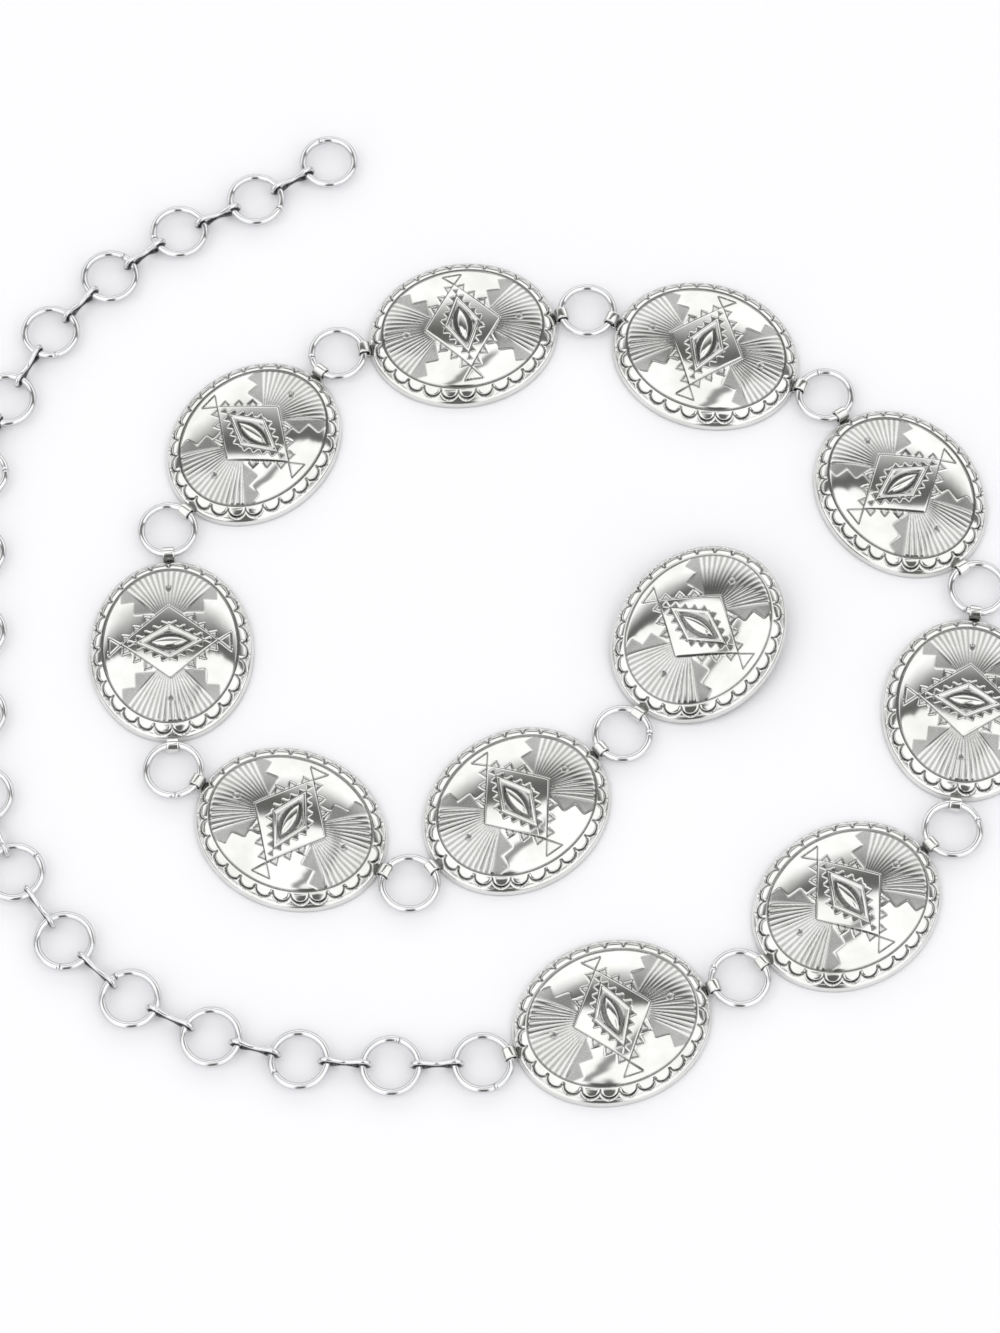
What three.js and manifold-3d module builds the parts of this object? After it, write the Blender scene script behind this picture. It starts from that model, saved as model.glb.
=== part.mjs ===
import * as THREE from 'three';
import { mergeVertices } from 'three/addons/utils/BufferGeometryUtils.js';
import Module from 'manifold-3d';

// Concho belt as it lies on a table: eleven oval domed conchos joined by round rings,
// then a plain tail chain whose rings take the hook under the first concho.
// Millimetres, +Z up. The table is z = 0 and the origin is the middle of the belt's base.
// Each concho has its own axes: u along the belt, v across it, z up from its rim.

// Conchos
const CONCHO_LENGTH = 50;
const CONCHO_WIDTH = 42.2;
const CONCHO_HEIGHT = 7;
const CONCHO_WALL = 1.2;
const BORDER_WIDTH = 3.9;
const RIM_ROUND = 0.9;
const DOME_POWER = 2.6;
const ROOF_SHARE = 0.4;
const HOLLOW_TURN_SHARE = 0.85;

// Raised ornament in the middle of each concho
const DIAMOND_LENGTH = 20;
const DIAMOND_WIDTH = 24.8;
const DIAMOND_RELIEF = 0.45;
const EYE_WIDTH = 2.6;
const EYE_LENGTH = 9;
const EYE_RELIEF = 0.45;

// Soldered straps, one at each end of a concho, curled round the ring wire
const STRAP_WIDTH = 2.9;
const STRAP_THICKNESS = 0.65;
const STRAP_BITE = 0.4;
const TONGUE_LENGTH = 6;

// Rings and the wire links of the tail
const RING_OUTER = 15.6;
const RING_WIRE = 1.9;
const LINK_LENGTH = 13.6;
const LINK_WIRE = 1.2;
const LINK_WAIST_GAP = 0.3;
const EYE_CLEARANCE = 0.3;

// Hook under the first concho
const HOOK_WIDTH = 6;
const HOOK_THICKNESS = 1.2;
const HOOK_BASE_LENGTH = 11;
const HOOK_TIP_LENGTH = 6;
const HOOK_BEND_PLACE = -7;
const HOOK_DROP = 3;
const SEAT_GAP = 0.3;

// How fine the meshes are
const OVAL_SIDES = 22;
const HOLLOW_SIDES = 12;
const RING_SECTIONS = 12;
const WIRE_SIDES = 5;
const CURL_SIDES = 8;
const BEND_SIDES = 6;

// The lay of the belt: the heading of each piece in degrees from +X towards +Y,
// taken along the belt from the hook to the last ring of the tail.
const CONCHO_HEADINGS = [-126, -143, 153, 93, 50, 11, -22, -56, -98, -144, -161];
const LINK_HEADINGS = [
  -178, 176, 165, 154, 138, 126, 113, 97, 93, 93, 91, 74, 62, 48, 37, 26, 31,
];

// Sizes worked out from the ones above
const halfLength = CONCHO_LENGTH / 2;
const halfWidth = CONCHO_WIDTH / 2;
const ringRadius = (RING_OUTER - RING_WIRE) / 2;
const eyeInner = RING_WIRE / 2 + EYE_CLEARANCE;
const strapOuter = eyeInner + STRAP_THICKNESS;
const ringPlane = eyeInner + LINK_WIRE;
const strapEyeOffset = halfLength + strapOuter - STRAP_BITE;
const linkEyeOffset = LINK_LENGTH / 2 - LINK_WIRE - eyeInner;

const silver = () => new THREE.MeshStandardMaterial({
  color: 0xc8c9cb,
  roughness: 0.22,
  metalness: 1,
});

const wasm = await Module();
wasm.setup();

// A closed geometry as a solid that can be joined and cut.
function solid(geometry) {
  const bare = geometry.clone();
  bare.deleteAttribute('normal');
  bare.deleteAttribute('uv');
  const merged = mergeVertices(bare, 1e-4);
  return new wasm.Manifold(new wasm.Mesh({
    numProp: 3,
    vertProperties: new Float32Array(merged.attributes.position.array),
    triVerts: new Uint32Array(merged.index.array),
  }));
}

// A solid back as a geometry.
function geometryOf(body) {
  const mesh = body.getMesh();
  const geometry = new THREE.BufferGeometry();
  geometry.setAttribute('position', new THREE.BufferAttribute(mesh.vertProperties, 3));
  geometry.setIndex(new THREE.BufferAttribute(mesh.triVerts, 1));
  geometry.computeVertexNormals();
  return geometry;
}

// Height of the dome over the rim plane; share runs from 0 at its middle to 1 at its edge.
function domeHeight(share) {
  return CONCHO_HEIGHT * Math.sqrt(1 - share ** DOME_POWER);
}

// A round lathe body stretched along u into the concho's oval. Inside the border the
// stretch grows evenly from the middle, and across the border it stays the same.
function oval(profile, sides) {
  const geometry = new THREE.LatheGeometry(profile, sides);
  geometry.rotateX(Math.PI / 2);
  const borderStart = halfWidth - BORDER_WIDTH;
  const place = geometry.attributes.position;
  for (let i = 0; i < place.count; i += 1) {
    const radius = Math.hypot(place.getX(i), place.getY(i));
    const stretch = (halfLength - halfWidth) * Math.min(1, radius / borderStart);
    if (radius > 0) place.setX(i, place.getX(i) * (radius + stretch) / radius);
  }
  return geometry;
}

// The outside of the dome, lifted by a relief, down to the rim plane.
function domeBody(lift) {
  const border = 1 - BORDER_WIDTH / halfWidth;
  const shares = [0, border * 0.6, border, 1 - RIM_ROUND / halfWidth];
  const profile = shares.map((share) => new THREE.Vector2(share * halfWidth, domeHeight(share) + lift));
  profile.push(new THREE.Vector2(halfWidth, 0), new THREE.Vector2(0, 0));
  return solid(oval(profile.reverse(), OVAL_SIDES));
}

// Height of the hollow's inside over the rim plane, by share of the hollow's own width.
function hollowHeight(share) {
  return domeHeight(share) * (1 - CONCHO_WALL / CONCHO_HEIGHT);
}

// The hollow under the dome, one wall smaller all round and open below; its middle is flat.
function hollowBody() {
  const edge = halfWidth - CONCHO_WALL;
  const profile = [
    new THREE.Vector2(0, hollowHeight(ROOF_SHARE)),
    new THREE.Vector2(ROOF_SHARE * edge, hollowHeight(ROOF_SHARE)),
    new THREE.Vector2(HOLLOW_TURN_SHARE * edge, hollowHeight(HOLLOW_TURN_SHARE)),
    new THREE.Vector2(edge, 0),
    new THREE.Vector2(edge, -CONCHO_WALL),
    new THREE.Vector2(0, -CONCHO_WALL),
  ];
  return solid(oval(profile.reverse(), HOLLOW_SIDES));
}

// An upright prism on the flat outline given.
function prism(outline, height) {
  return solid(new THREE.ExtrudeGeometry(new THREE.Shape(outline), {
    depth: height,
    bevelEnabled: false,
  }));
}

// The raised diamond, its long corners across the belt, following the dome.
function diamondBody() {
  const outline = [
    new THREE.Vector2(DIAMOND_LENGTH / 2, 0),
    new THREE.Vector2(0, DIAMOND_WIDTH / 2),
    new THREE.Vector2(-DIAMOND_LENGTH / 2, 0),
    new THREE.Vector2(0, -DIAMOND_WIDTH / 2),
  ];
  return prism(outline, CONCHO_HEIGHT * 2).intersect(domeBody(DIAMOND_RELIEF));
}

// The pointed eye on the diamond: a four-sided bar tapering to both ends, across the belt.
function eyeBody() {
  const eye = new THREE.OctahedronGeometry(1);
  eye.scale(EYE_WIDTH / 2, EYE_LENGTH / 2, EYE_RELIEF + DIAMOND_RELIEF);
  eye.translate(0, 0, CONCHO_HEIGHT + DIAMOND_RELIEF);
  return solid(eye);
}

// One strap at the u end of a concho: a curl with a round eye for the ring wire, and a
// tongue that runs in under the dome.
function strapBody() {
  const outline = new THREE.Shape();
  outline.absarc(0, 0, strapOuter, 0, Math.PI * 2);
  const eye = new THREE.Path();
  eye.absarc(0, 0, eyeInner / Math.cos(Math.PI / CURL_SIDES), 0, Math.PI * 2, true);
  outline.holes.push(eye);
  const curl = new THREE.ExtrudeGeometry(outline, {
    depth: STRAP_WIDTH,
    bevelEnabled: false,
    curveSegments: CURL_SIDES / 2,
  });
  curl.rotateX(Math.PI / 2);
  curl.translate(strapEyeOffset, STRAP_WIDTH / 2, ringPlane);
  const tongue = new THREE.BoxGeometry(TONGUE_LENGTH, STRAP_WIDTH, STRAP_THICKNESS);
  tongue.translate(
    strapEyeOffset - TONGUE_LENGTH / 2,
    0,
    ringPlane - strapOuter + STRAP_THICKNESS / 2,
  );
  return solid(curl).add(solid(tongue));
}

// A concho: hollow dome, raised diamond and eye, and the straps that it has.
function conchoGeometry(strapEnds) {
  let body = domeBody(0).add(diamondBody()).add(eyeBody()).subtract(hollowBody());
  for (const end of strapEnds) {
    body = body.add(strapBody().rotate([0, 0, end > 0 ? 0 : 180]));
  }
  return geometryOf(body);
}

// A closed loop of round wire through the points of a flat outline that runs anticlockwise.
function wireLoop(points, wire) {
  const count = points.length;
  const loop = new THREE.TorusGeometry(1, 0.5, WIRE_SIDES, count);
  const place = loop.attributes.position;
  for (let side = 0; side <= WIRE_SIDES; side += 1) {
    const turn = (side / WIRE_SIDES) * Math.PI * 2;
    for (let i = 0; i <= count; i += 1) {
      const here = points[i % count];
      const before = points[(i + count - 1) % count];
      const after = points[(i + 1) % count];
      const forward = after.clone().sub(before).normalize();
      const out = Math.cos(turn) * wire / 2;
      place.setXYZ(
        side * (count + 1) + i,
        here.x + forward.y * out,
        here.y - forward.x * out,
        Math.sin(turn) * wire / 2,
      );
    }
  }
  return geometryOf(solid(loop));
}

// A round ring lying flat; its corners stand a little outside the true circle and its
// sides a little inside. The middle of one side faces -X.
function ringGeometry() {
  const half = Math.PI / RING_SECTIONS;
  const radius = ringRadius * 2 / (1 + Math.cos(half));
  const points = Array.from({ length: RING_SECTIONS }, (_, i) => new THREE.Vector2(
    radius * Math.cos((2 * i + 1) * half),
    radius * Math.sin((2 * i + 1) * half),
  ));
  return wireLoop(points, RING_WIRE);
}

// A tail link: a wire loop on edge, round at both ends and pinched at its waist.
function linkGeometry() {
  const bend = eyeInner + LINK_WIRE / 2;
  const waist = (LINK_WIRE + LINK_WAIST_GAP) / 2;
  const corner = bend * Math.tan(Math.PI / 6);
  const right = [
    new THREE.Vector2(linkEyeOffset, -bend),
    new THREE.Vector2(linkEyeOffset + bend, -corner),
    new THREE.Vector2(linkEyeOffset + bend, corner),
    new THREE.Vector2(linkEyeOffset, bend),
  ];
  const left = right.map((point) => point.clone().negate());
  const points = [...right, new THREE.Vector2(0, waist), ...left, new THREE.Vector2(0, -waist)];
  return wireLoop(points, LINK_WIRE).rotateX(Math.PI / 2);
}

// The plain hook: a flat strip with its base close under the dome, bent back to a tip
// that stands lower than the rim and opens towards the belt.
function hookGeometry() {
  const top = hollowHeight(ROOF_SHARE) - SEAT_GAP;
  const outer = (top + HOOK_DROP) / 2;
  const inner = outer - HOOK_THICKNESS;
  const middle = outer - HOOK_DROP;
  const baseEnd = HOOK_BEND_PLACE + HOOK_BASE_LENGTH;
  const tipEnd = HOOK_BEND_PLACE + HOOK_TIP_LENGTH;
  const strip = new THREE.Shape();
  strip.moveTo(baseEnd, middle + inner);
  strip.lineTo(baseEnd, middle + outer);
  strip.absarc(HOOK_BEND_PLACE, middle, outer, Math.PI / 2, Math.PI * 1.5);
  strip.lineTo(tipEnd, middle - outer);
  strip.lineTo(tipEnd, middle - inner);
  strip.absarc(HOOK_BEND_PLACE, middle, inner, Math.PI * 1.5, Math.PI / 2, true);
  const hook = new THREE.ExtrudeGeometry(strip, {
    depth: HOOK_WIDTH,
    bevelEnabled: false,
    curveSegments: BEND_SIDES / 2,
  });
  hook.rotateX(Math.PI / 2);
  hook.translate(0, HOOK_WIDTH / 2, 0);
  return geometryOf(solid(hook));
}

// The first concho leans on its hook: it turns about its strap's eye until the hook's
// tip meets the table.
function endTilt() {
  const reach = strapEyeOffset - HOOK_BEND_PLACE - HOOK_TIP_LENGTH;
  const fall = ringPlane + HOOK_DROP;
  return Math.atan2(fall, reach) - Math.asin(ringPlane / Math.hypot(fall, reach));
}

const belt = new THREE.Group();

// A named piece at a place on the table, turned to its heading.
function lay(parent, name, geometry, place, heading, height) {
  const mesh = new THREE.Mesh(geometry, silver());
  mesh.name = name;
  mesh.position.set(place.x, place.y, height);
  mesh.rotation.z = heading;
  parent.add(mesh);
}

// The place a distance further along a heading.
function along(place, heading, distance) {
  return place.clone().add(new THREE.Vector2(distance, 0).rotateAround(new THREE.Vector2(), heading));
}

const numbered = (word, index) => `${word}_${String(index).padStart(2, '0')}`;
const radians = THREE.MathUtils.degToRad;
const conchoReach = strapEyeOffset + ringRadius;
const linkReach = linkEyeOffset + ringRadius;

// The end concho and its hook, in a group that turns about the eye of the strap.
function layEndConcho(eye, heading) {
  const turned = new THREE.Group();
  turned.position.set(eye.x, eye.y, ringPlane);
  turned.rotation.set(0, endTilt(), heading, 'ZYX');
  const home = new THREE.Vector2(-strapEyeOffset, 0);
  lay(turned, numbered('concho', 1), conchoGeometry([1]), home, 0, -ringPlane);
  lay(turned, 'hook', hookGeometry(), home, 0, -ringPlane);
  belt.add(turned);
}

// Conchos and the rings between them; the ring after the last concho starts the tail.
function layConchos(start) {
  const headings = CONCHO_HEADINGS.map(radians);
  layEndConcho(along(start, headings[0], -ringRadius), headings[0]);
  lay(belt, numbered('ring', 1), ringGeometry(), start, headings[0], ringPlane);
  let place = start;
  for (let i = 1; i < headings.length; i += 1) {
    const heading = headings[i];
    const middle = along(place, heading, conchoReach);
    place = along(middle, heading, conchoReach);
    lay(belt, numbered('concho', i + 1), conchoGeometry([1, -1]), middle, heading, 0);
    const name = i + 1 < headings.length ? numbered('ring', i + 1) : numbered('tail_ring', 1);
    lay(belt, name, ringGeometry(), place, heading, ringPlane);
  }
  return place;
}

// The tail: a link and a ring for each heading.
function layTail(start) {
  let place = start;
  LINK_HEADINGS.forEach((degrees, i) => {
    const heading = radians(degrees);
    const middle = along(place, heading, linkReach);
    place = along(middle, heading, linkReach);
    lay(belt, numbered('link', i + 1), linkGeometry(), middle, heading, ringPlane);
    lay(belt, numbered('tail_ring', i + 2), ringGeometry(), place, heading, ringPlane);
  });
}

layTail(layConchos(new THREE.Vector2()));

// The origin is the middle of the belt's box, on the table.
const box = new THREE.Box3().setFromObject(belt, true);
const middle = box.getCenter(new THREE.Vector3());
belt.children.forEach((child) => child.position.sub(new THREE.Vector3(middle.x, middle.y, box.min.z)));

export default belt;
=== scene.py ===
"""Looks of a concho belt that lies coiled on a white table.

Eleven stamped, silver-plated conchos are joined by round wire rings, and a plain tail of rings
and pinched links follows the last one. Sizes are in millimetres in each piece's own axes: u runs
along the belt, v across it and z up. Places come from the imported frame, which is in metres.
"""

import logging
import math
from dataclasses import dataclass, field
from enum import Enum
from typing import Any

import bpy
import numpy as np
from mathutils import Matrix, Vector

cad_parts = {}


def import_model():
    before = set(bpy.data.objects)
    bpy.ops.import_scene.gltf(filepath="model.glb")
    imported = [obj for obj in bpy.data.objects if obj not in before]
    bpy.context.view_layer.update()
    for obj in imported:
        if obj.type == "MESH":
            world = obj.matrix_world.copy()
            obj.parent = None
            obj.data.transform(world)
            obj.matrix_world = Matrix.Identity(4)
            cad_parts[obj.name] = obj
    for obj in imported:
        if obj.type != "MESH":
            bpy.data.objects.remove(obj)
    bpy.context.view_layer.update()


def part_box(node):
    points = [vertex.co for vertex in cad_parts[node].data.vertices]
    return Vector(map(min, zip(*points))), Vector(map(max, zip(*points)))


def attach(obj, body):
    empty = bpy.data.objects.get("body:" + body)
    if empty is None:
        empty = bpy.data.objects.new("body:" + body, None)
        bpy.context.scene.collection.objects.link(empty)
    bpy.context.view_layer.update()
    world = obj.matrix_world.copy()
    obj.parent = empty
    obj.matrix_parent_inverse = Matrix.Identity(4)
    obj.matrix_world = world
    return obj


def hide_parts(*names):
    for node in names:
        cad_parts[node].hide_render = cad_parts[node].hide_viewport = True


LOG = logging.getLogger("concho_belt")
MM = 0.001
BODY = "root"
CONCHOS = 11
BELT_RINGS = 10
TAIL_RINGS = 18

# Unit directions of a piece's v and z
ACROSS = np.array([0.0, 1.0, 0.0])
UP = np.array([0.0, 0.0, 1.0])

# A node and the name of one of its outputs, and the inputs of a Map Range node
Output = tuple[bpy.types.Node, str]
RANGE = ("From Min", "From Max", "To Min", "To Max")


class Slot(Enum):
    """The record's material slots."""

    ANTIQUED = "antiqued_silver"
    WIRE = "silver_wire"


class Strength(Enum):
    """How dark a mark is, from 0, bright, to 1, black: the black oxide that a stamp holds, and also the
    painted shade on the wire, the straps and the rim's foot.
    """

    FILM = 0.22
    HAZE = 0.4
    MATTE = 0.55
    LINE = 0.85
    BLACK = 1.0


def linear(hex_colour: str) -> tuple[float, float, float, float]:
    """Turns an sRGB hex colour to linear.

    Args:
        hex_colour: Six hex digits, such as "E8E8E6".

    Returns:
        Linear red, green and blue, and an alpha of 1.
    """
    parts = [int(hex_colour[i : i + 2], 16) / 255 for i in (0, 2, 4)]
    return tuple(c / 12.92 if c <= 0.04045 else ((c + 0.055) / 1.055) ** 2.4 for c in parts) + (1.0,)


def add_node(
    tree: bpy.types.NodeTree,
    kind: str,
    settings: dict[str, Any] | None = None,
    sockets: dict[int | str, Any] | None = None,
    links: dict[int | str, Output] | None = None,
) -> bpy.types.Node:
    """Adds one shader node.

    Args:
        tree: The node tree that gets it.
        kind: The node's type without its ShaderNode prefix.
        settings: The node's own properties by name.
        sockets: Values of its inputs, by name or number.
        links: For an input, by name or number, the node and output that feed it.

    Returns:
        The new node.
    """
    node = tree.nodes.new("ShaderNode" + kind)
    for name, value in (settings or {}).items():
        setattr(node, name, value)
    for name, value in (sockets or {}).items():
        node.inputs[name].default_value = value
    for name, (source, output) in (links or {}).items():
        tree.links.new(source.outputs[output], node.inputs[name])
    return node


def smooth(low: float, high: float, value: np.ndarray) -> np.ndarray:
    """Rises from 0 at low to 1 at high along 3t^2 - 2t^3.

    Args:
        low: Where the rise starts.
        high: Where it ends; it may be below low, and the curve then falls.
        value: The values to map.

    Returns:
        An array of shares from 0 to 1.
    """
    share = np.clip((value - low) / (high - low), 0, 1)
    return share * share * (3 - 2 * share)


def within(distance: np.ndarray, soft: float) -> np.ndarray:
    """1 inside an edge, where distance is below 0, and 0 outside, over a slope of soft each way."""
    return smooth(soft, -soft, distance)


def to_segment(
    u: np.ndarray, v: np.ndarray, start: tuple[float, float], end: tuple[float, float]
) -> np.ndarray:
    """Distance from points to a straight segment: to the nearest point of it, clamped to its ends.

    Args:
        u: Places along the belt.
        v: Places across it.
        start: The segment's first end.
        end: The segment's other end.

    Returns:
        The distances.
    """
    run = (end[0] - start[0], end[1] - start[1])
    share = ((u - start[0]) * run[0] + (v - start[1]) * run[1]) / (run[0] ** 2 + run[1] ** 2)
    share = np.clip(share, 0, 1)
    return np.hypot(u - start[0] - share * run[0], v - start[1] - share * run[1])


def to_rhombus(u: np.ndarray, v: np.ndarray, half_u: float, half_v: float) -> np.ndarray:
    """Signed distance to a rhombus's edge line in the first quadrant.

    It is (u/a + v/b - 1) divided by the length of (1/a, 1/b).

    Args:
        u: Places along the belt, at or above 0.
        v: Places across it, at or above 0.
        half_u: Half its length along the belt.
        half_v: Half its length across it.

    Returns:
        Distances, below 0 inside.
    """
    return (u / half_u + v / half_v - 1) / math.hypot(1 / half_u, 1 / half_v)


@dataclass
class Surface:
    """A mesh as whole arrays: points in millimetres, quads, triangles and values at its points."""

    points: np.ndarray
    quads: np.ndarray
    triangles: np.ndarray = field(default_factory=lambda: np.zeros((0, 3), int))
    values: dict[str, np.ndarray] = field(default_factory=dict)

    def joined(self, other: "Surface") -> "Surface":
        """This surface and another as one, with the other's points numbered after this one's.

        Args:
            other: The surface that is added. It holds the same values.

        Returns:
            The joined surface.
        """
        shift = len(self.points)
        return Surface(
            np.vstack([self.points, other.points]),
            np.vstack([self.quads, other.quads + shift]),
            np.vstack([self.triangles, other.triangles + shift]),
            {name: np.concatenate([self.values[name], other.values[name]]) for name in self.values},
        )

    def mesh(self, name: str) -> bpy.types.Mesh:
        """Puts the arrays into a Blender mesh.

        Args:
            name: The mesh's name.

        Returns:
            The mesh, shaded smooth, with an attribute for each of the values.
        """
        mesh = bpy.data.meshes.new(name)
        corners = np.concatenate([self.quads.ravel(), self.triangles.ravel()])
        sizes = np.concatenate([np.full(len(self.quads), 4), np.full(len(self.triangles), 3)])
        mesh.vertices.add(len(self.points))
        mesh.vertices.foreach_set("co", self.points.astype(np.float32).ravel())
        mesh.loops.add(len(corners))
        mesh.loops.foreach_set("vertex_index", corners.astype(np.int32))
        mesh.polygons.add(len(sizes))
        mesh.polygons.foreach_set("loop_start", (np.cumsum(sizes) - sizes).astype(np.int32))
        mesh.polygons.foreach_set("use_smooth", np.ones(len(sizes), bool))
        for label, value in self.values.items():
            attribute = mesh.attributes.new(label, "FLOAT", "POINT")
            attribute.data.foreach_set("value", value.astype(np.float32))
        mesh.update(calc_edges=True)
        mesh.validate()
        return mesh


def swept(path: np.ndarray, section: np.ndarray, side: np.ndarray, closed: bool) -> Surface:
    """Carries a flat section along a path that lies in one plane.

    Point (i, j) is path_i + a_j * across_i + b_j * side, where across_i is the path's direction
    at i crossed with side. An open sweep is closed by a fan at each end.

    Args:
        path: The path's points, n by 3.
        section: The section's (a, b) points, anticlockwise, m by 2.
        side: The unit normal of the path's plane.
        closed: Whether the path's end meets its start.

    Returns:
        The closed surface.
    """
    if closed:
        ahead = np.roll(path, -1, 0) - np.roll(path, 1, 0)
    else:
        ahead = np.gradient(path, axis=0)
    ahead = ahead / np.linalg.norm(ahead, axis=1, keepdims=True)
    across = np.cross(ahead, side)
    points = path[:, None] + section[None, :, :1] * across[:, None] + section[None, :, 1:] * side
    rows, around = len(path), len(section)
    i, j = np.meshgrid(np.arange(rows if closed else rows - 1), np.arange(around), indexing="ij")
    next_i, next_j = (i + 1) % rows, (j + 1) % around
    corners = (i * around + j, next_i * around + j, next_i * around + next_j, i * around + next_j)
    quads = np.stack(corners, -1).reshape(-1, 4)
    flat = points.reshape(-1, 3)
    if closed:
        return Surface(flat, quads)
    ring = np.arange(around)
    following = (ring + 1) % around
    start, end = len(flat), len(flat) + 1
    last = (rows - 1) * around
    caps = [
        np.stack([np.full(around, start), ring, following], -1),
        np.stack([np.full(around, end), last + following, last + ring], -1),
    ]
    return Surface(np.vstack([flat, path[:1], path[-1:]]), quads, np.vstack(caps))


def upright(u: np.ndarray, z: np.ndarray) -> np.ndarray:
    """A path's points in the upright plane along the belt, where v is 0."""
    return np.stack([u, np.zeros_like(u), z], -1)


def round_section(diameter: float, sides: int) -> np.ndarray:
    """A wire's section: (r cos t, r sin t), anticlockwise."""
    turn = np.linspace(0, 2 * math.pi, sides, endpoint=False)
    return np.stack([np.cos(turn), np.sin(turn)], -1) * diameter / 2


def strip_section(thickness: float, width: float, sides: int, squareness: float) -> np.ndarray:
    """A strip's section with rounded corners, a superellipse.

    Each of cos t and sin t is raised to 2/squareness and keeps its sign.

    Args:
        thickness: The strip's thickness.
        width: Its width.
        sides: How many points it has.
        squareness: The superellipse's power; 2 is an ellipse and more is squarer.

    Returns:
        The (across, side) points, anticlockwise.
    """
    turn = np.linspace(0, 2 * math.pi, sides, endpoint=False)
    wave = np.stack([np.cos(turn), np.sin(turn)], -1)
    return np.sign(wave) * np.abs(wave) ** (2 / squareness) * (thickness / 2, width / 2)


@dataclass(frozen=True)
class Placement:
    """Turns and moves a piece from its own millimetres to the frame's metres."""

    turn: np.ndarray
    place: np.ndarray

    def put(self, surface: Surface) -> Surface:
        """The surface with its points in the frame: turn times point, in metres, plus place."""
        points = surface.points @ self.turn.T * MM + self.place
        return Surface(points, surface.quads, surface.triangles, dict(surface.values))


def heading_turn(heading: float, tilt: float = 0.0) -> np.ndarray:
    """A turn by tilt about v, which lifts the piece's -u end, and then by heading about z.

    Args:
        heading: Angle from +X towards +Y, in radians.
        tilt: Angle about v, in radians.

    Returns:
        The 3 by 3 matrix.
    """
    c, s = math.cos(heading), math.sin(heading)
    ct, st = math.cos(tilt), math.sin(tilt)
    about_z = np.array([[c, -s, 0], [s, c, 0], [0, 0, 1]])
    about_v = np.array([[ct, 0, st], [0, 1, 0], [-st, 0, ct]])
    return about_z @ about_v


@dataclass(frozen=True)
class SilverFinish:
    """A plated silver finish: its metal, its oxide, which also colours the painted shade, and how smooth
    each is.

    Clouds of film take up to film_share of the metal where their noise runs through cloud_edge.
    The grain thins or deepens the oxide and the painted shade by the factors in wear, where its own noise
    runs through grain_edge.
    """

    name: str
    metal: str
    film: str
    oxide: str
    roughness: float
    oxide_roughness: float
    grain_mm: float
    cloud_mm: float
    grain_depth_mm: float
    matte_roughness: float = 0.12
    buffed_bump: float = 0.1
    cloud_edge: tuple[float, float] = (0.4, 0.72)
    film_share: float = 0.5
    grain_edge: tuple[float, float] = (0.3, 0.7)
    wear: tuple[float, float] = (0.72, 1.08)

    def material(self) -> bpy.types.Material:
        """Builds the finish: bright metal under a cloudy film, with black oxide and painted shade over
        both.

        The attribute of black oxide and painted shade, times the grain's wear, is the dark colour's
        share. The matte attribute adds to the roughness and brings the grain up from its buffed depth to
        its full depth.

        Returns:
            The material.
        """
        made = bpy.data.materials.new(self.name)
        made.use_nodes = True
        tree = made.node_tree
        tree.nodes.clear()
        place = {"Vector": (add_node(tree, "TexCoord"), "Object")}
        oxide_and_painted_shade = add_node(tree, "Attribute", {"attribute_name": "oxide_and_painted_shade"})
        matte = add_node(tree, "Attribute", {"attribute_name": "matte"})
        cloud_noise = {"Scale": 1 / (self.cloud_mm * MM), "Detail": 3.0, "Roughness": 0.55}
        cloud = add_node(tree, "TexNoise", sockets=cloud_noise, links=place)
        cloud_map = dict(zip(RANGE, (*self.cloud_edge, 0.0, self.film_share)))
        patch = add_node(tree, "MapRange", sockets=cloud_map, links={"Value": (cloud, "Fac")})
        grain_noise = {"Scale": 1 / (self.grain_mm * MM), "Detail": 2.0, "Roughness": 0.6}
        grain = add_node(tree, "TexNoise", sockets=grain_noise, links=place)
        grain_map = dict(zip(RANGE, (*self.grain_edge, *self.wear)))
        worn = add_node(tree, "MapRange", sockets=grain_map, links={"Value": (grain, "Fac")})
        oxide = add_node(
            tree,
            "Math",
            {"operation": "MULTIPLY", "use_clamp": True},
            links={0: (oxide_and_painted_shade, "Fac"), 1: (worn, "Result")},
        )
        filmed = add_node(
            tree,
            "Mix",
            {"data_type": "RGBA"},
            {6: linear(self.metal), 7: linear(self.film)},
            {0: (patch, "Result")},
        )
        colour = add_node(
            tree,
            "Mix",
            {"data_type": "RGBA"},
            {7: linear(self.oxide)},
            {0: (oxide, "Value"), 6: (filmed, "Result")},
        )
        rough = add_node(
            tree,
            "MapRange",
            sockets={"To Min": self.roughness, "To Max": self.oxide_roughness},
            links={"Value": (oxide, "Value")},
        )
        dulled = add_node(
            tree,
            "Math",
            {"operation": "MULTIPLY_ADD", "use_clamp": True},
            {1: self.matte_roughness},
            {0: (matte, "Fac"), 2: (rough, "Result")},
        )
        depth = add_node(
            tree,
            "Math",
            {"operation": "MULTIPLY_ADD"},
            {1: 1 - self.buffed_bump, 2: self.buffed_bump},
            {0: (matte, "Fac")},
        )
        bump = add_node(
            tree,
            "Bump",
            sockets={"Distance": self.grain_depth_mm * MM},
            links={"Height": (grain, "Fac"), "Strength": (depth, "Value")},
        )
        shader = add_node(
            tree,
            "BsdfPrincipled",
            sockets={"Metallic": 1.0},
            links={
                "Base Color": (colour, "Result"),
                "Roughness": (dulled, "Value"),
                "Normal": (bump, "Normal"),
            },
        )
        add_node(tree, "OutputMaterial", links={"Surface": (shader, "BSDF")})
        return made


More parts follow.
